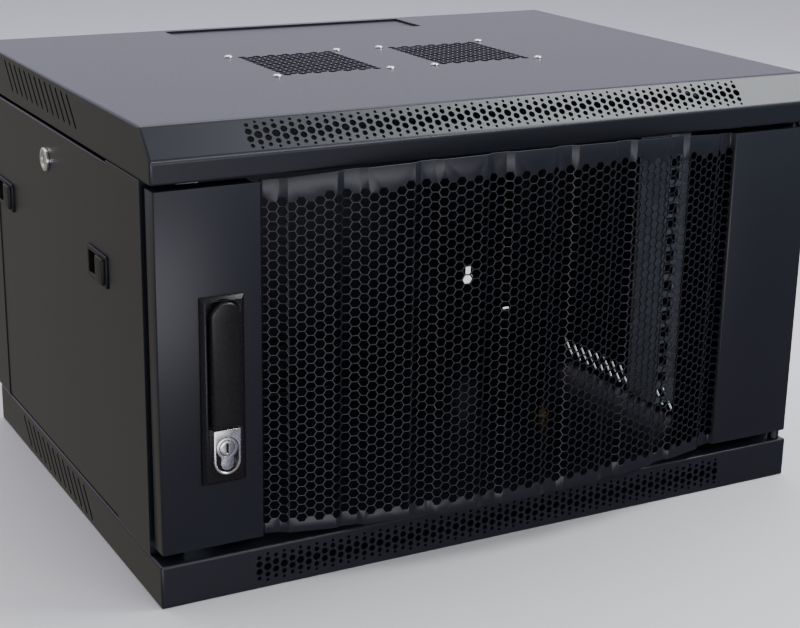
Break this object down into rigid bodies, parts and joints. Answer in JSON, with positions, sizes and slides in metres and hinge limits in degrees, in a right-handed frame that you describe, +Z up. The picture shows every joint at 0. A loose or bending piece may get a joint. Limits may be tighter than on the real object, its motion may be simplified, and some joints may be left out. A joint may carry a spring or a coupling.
{
  "type": "network server rack cabinet",
  "caption": "Small steel network rack cabinet for a desk or wall, with a corrugated perforated door on a swing-handle lock, roof fans, side panels on latches and rack rails.",
  "frame": {"origin": "middle of the footprint, on the floor", "axes": "+Z up; the door faces -Y; +X is the right side as seen by someone facing the door, where the hinge is"},
  "size_m": [0.6074, 0.4771, 0.3692],
  "materials": {
    "black_paint": "satin fine-textured black powder coat",
    "zinc_plate": "zinc plated, satin",
    "brass": "plain brass",
    "fan_plastic": "matt black moulding",
    "bright_screw": "nickel plated, bright",
    "handle_plastic": "glossy black",
    "chrome": "polished die casting"
  },
  "bodies": {
    "cabinet": {"base_tray": "black_paint", "lid": "black_paint", "front_column_left": "black_paint", "front_column_right": "black_paint", "rear_column_left": "black_paint", "rear_column_right": "black_paint", "depth_bracket_low_left": "black_paint", "depth_bracket_low_right": "black_paint", "depth_bracket_high_left": "black_paint", "depth_bracket_high_right": "black_paint", "rack_rail_left": "zinc_plate", "rack_rail_right": "zinc_plate", "rear_panel": "black_paint", "lid_cable_plate": "black_paint", "base_cable_plate": "black_paint", "earth_stud": "brass", "hinge_pin_low": "black_paint", "hinge_pin_high": "black_paint", "fan_frame_left": "fan_plastic", "fan_frame_right": "fan_plastic", "fan_screw_1": "bright_screw", "fan_screw_2": "bright_screw", "fan_screw_3": "bright_screw", "fan_screw_4": "bright_screw", "fan_screw_5": "bright_screw", "fan_screw_6": "bright_screw", "fan_screw_7": "bright_screw", "fan_screw_8": "bright_screw"},
    "door": {"door_sheet": "black_paint", "door_stiffener_left": "black_paint", "door_stiffener_right": "black_paint", "handle_plate": "handle_plastic", "lock_housing": "chrome", "lock_cylinder": "chrome"},
    "handle_swivel": {"swivel_shaft": "zinc_plate", "latch_cam": "zinc_plate", "cam_nut": "zinc_plate"},
    "handle_lever": {"handle_lever": "handle_plastic", "lever_pin": "zinc_plate"},
    "door_lock_plug": {"lock_plug": "chrome"},
    "side_panel_left": {"side_panel_left": "black_paint", "side_lock_body_left": "chrome", "latch_frame_front_left": "handle_plastic", "latch_frame_rear_left": "handle_plastic"},
    "side_lock_left": {"side_lock_plug_left": "chrome", "side_lock_cam_left": "zinc_plate"},
    "latch_front_left": {"latch_slider_front_left": "handle_plastic"},
    "latch_rear_left": {"latch_slider_rear_left": "handle_plastic"},
    "fan_left": {"fan_rotor_left": "fan_plastic"},
    "side_panel_right": {"side_panel_right": "black_paint", "side_lock_body_right": "chrome", "latch_frame_front_right": "handle_plastic", "latch_frame_rear_right": "handle_plastic"},
    "side_lock_right": {"side_lock_plug_right": "chrome", "side_lock_cam_right": "zinc_plate"},
    "latch_front_right": {"latch_slider_front_right": "handle_plastic"},
    "latch_rear_right": {"latch_slider_rear_right": "handle_plastic"},
    "fan_right": {"fan_rotor_right": "fan_plastic"}
  },
  "joints": [
    {"name": "door_hinge", "type": "hinge", "parent": "cabinet", "child": "door", "pos_m": [0.292, -0.217, 0], "axis": [0, 0, 1], "range_deg": [0, 180]},
    {"name": "handle_swivel_turn", "type": "hinge", "parent": "door", "child": "handle_swivel", "pos_m": [-0.2485, -0.23, 0.228], "axis": [0, 1, 0], "range_deg": [0, 90]},
    {"name": "handle_lift", "type": "hinge", "parent": "handle_swivel", "child": "handle_lever", "pos_m": [-0.2485, -0.2333, 0.228], "axis": [-1, 0, 0], "range_deg": [0, 18]},
    {"name": "door_key_turn", "type": "hinge", "parent": "door", "child": "door_lock_plug", "pos_m": [-0.2485, -0.23, 0.126], "axis": [0, -1, 0], "range_deg": [0, 90]},
    {"name": "side_panel_left_tilt", "type": "hinge", "parent": "cabinet", "child": "side_panel_left", "pos_m": [-0.2992, 0.03, 0.036], "axis": [0, -1, 0], "range_deg": [0, 25]},
    {"name": "side_key_left_turn", "type": "hinge", "parent": "side_panel_left", "child": "side_lock_left", "pos_m": [-0.29, 0.03, 0.296], "axis": [-1, 0, 0], "range_deg": [0, 90]},
    {"name": "latch_front_left_slide", "type": "slide", "parent": "side_panel_left", "child": "latch_front_left", "axis": [0, 1, 0], "range_m": [0, 0.008], "stiffness_N_per_m": 250, "springref_m": -0.004},
    {"name": "latch_rear_left_slide", "type": "slide", "parent": "side_panel_left", "child": "latch_rear_left", "axis": [0, -1, 0], "range_m": [0, 0.008], "stiffness_N_per_m": 250, "springref_m": -0.004},
    {"name": "fan_left_spin", "type": "hinge", "parent": "cabinet", "child": "fan_left", "pos_m": [-0.074, -0.001, 0.35], "axis": [0, 0, 1], "continuous": true},
    {"name": "side_panel_right_tilt", "type": "hinge", "parent": "cabinet", "child": "side_panel_right", "pos_m": [0.2992, 0.03, 0.036], "axis": [0, 1, 0], "range_deg": [0, 25]},
    {"name": "side_key_right_turn", "type": "hinge", "parent": "side_panel_right", "child": "side_lock_right", "pos_m": [0.29, 0.03, 0.296], "axis": [1, 0, 0], "range_deg": [0, 90]},
    {"name": "latch_front_right_slide", "type": "slide", "parent": "side_panel_right", "child": "latch_front_right", "axis": [0, 1, 0], "range_m": [0, 0.008], "stiffness_N_per_m": 250, "springref_m": -0.004},
    {"name": "latch_rear_right_slide", "type": "slide", "parent": "side_panel_right", "child": "latch_rear_right", "axis": [0, -1, 0], "range_m": [0, 0.008], "stiffness_N_per_m": 250, "springref_m": -0.004},
    {"name": "fan_right_spin", "type": "hinge", "parent": "cabinet", "child": "fan_right", "pos_m": [0.074, -0.001, 0.35], "axis": [0, 0, 1], "continuous": true}
  ]
}
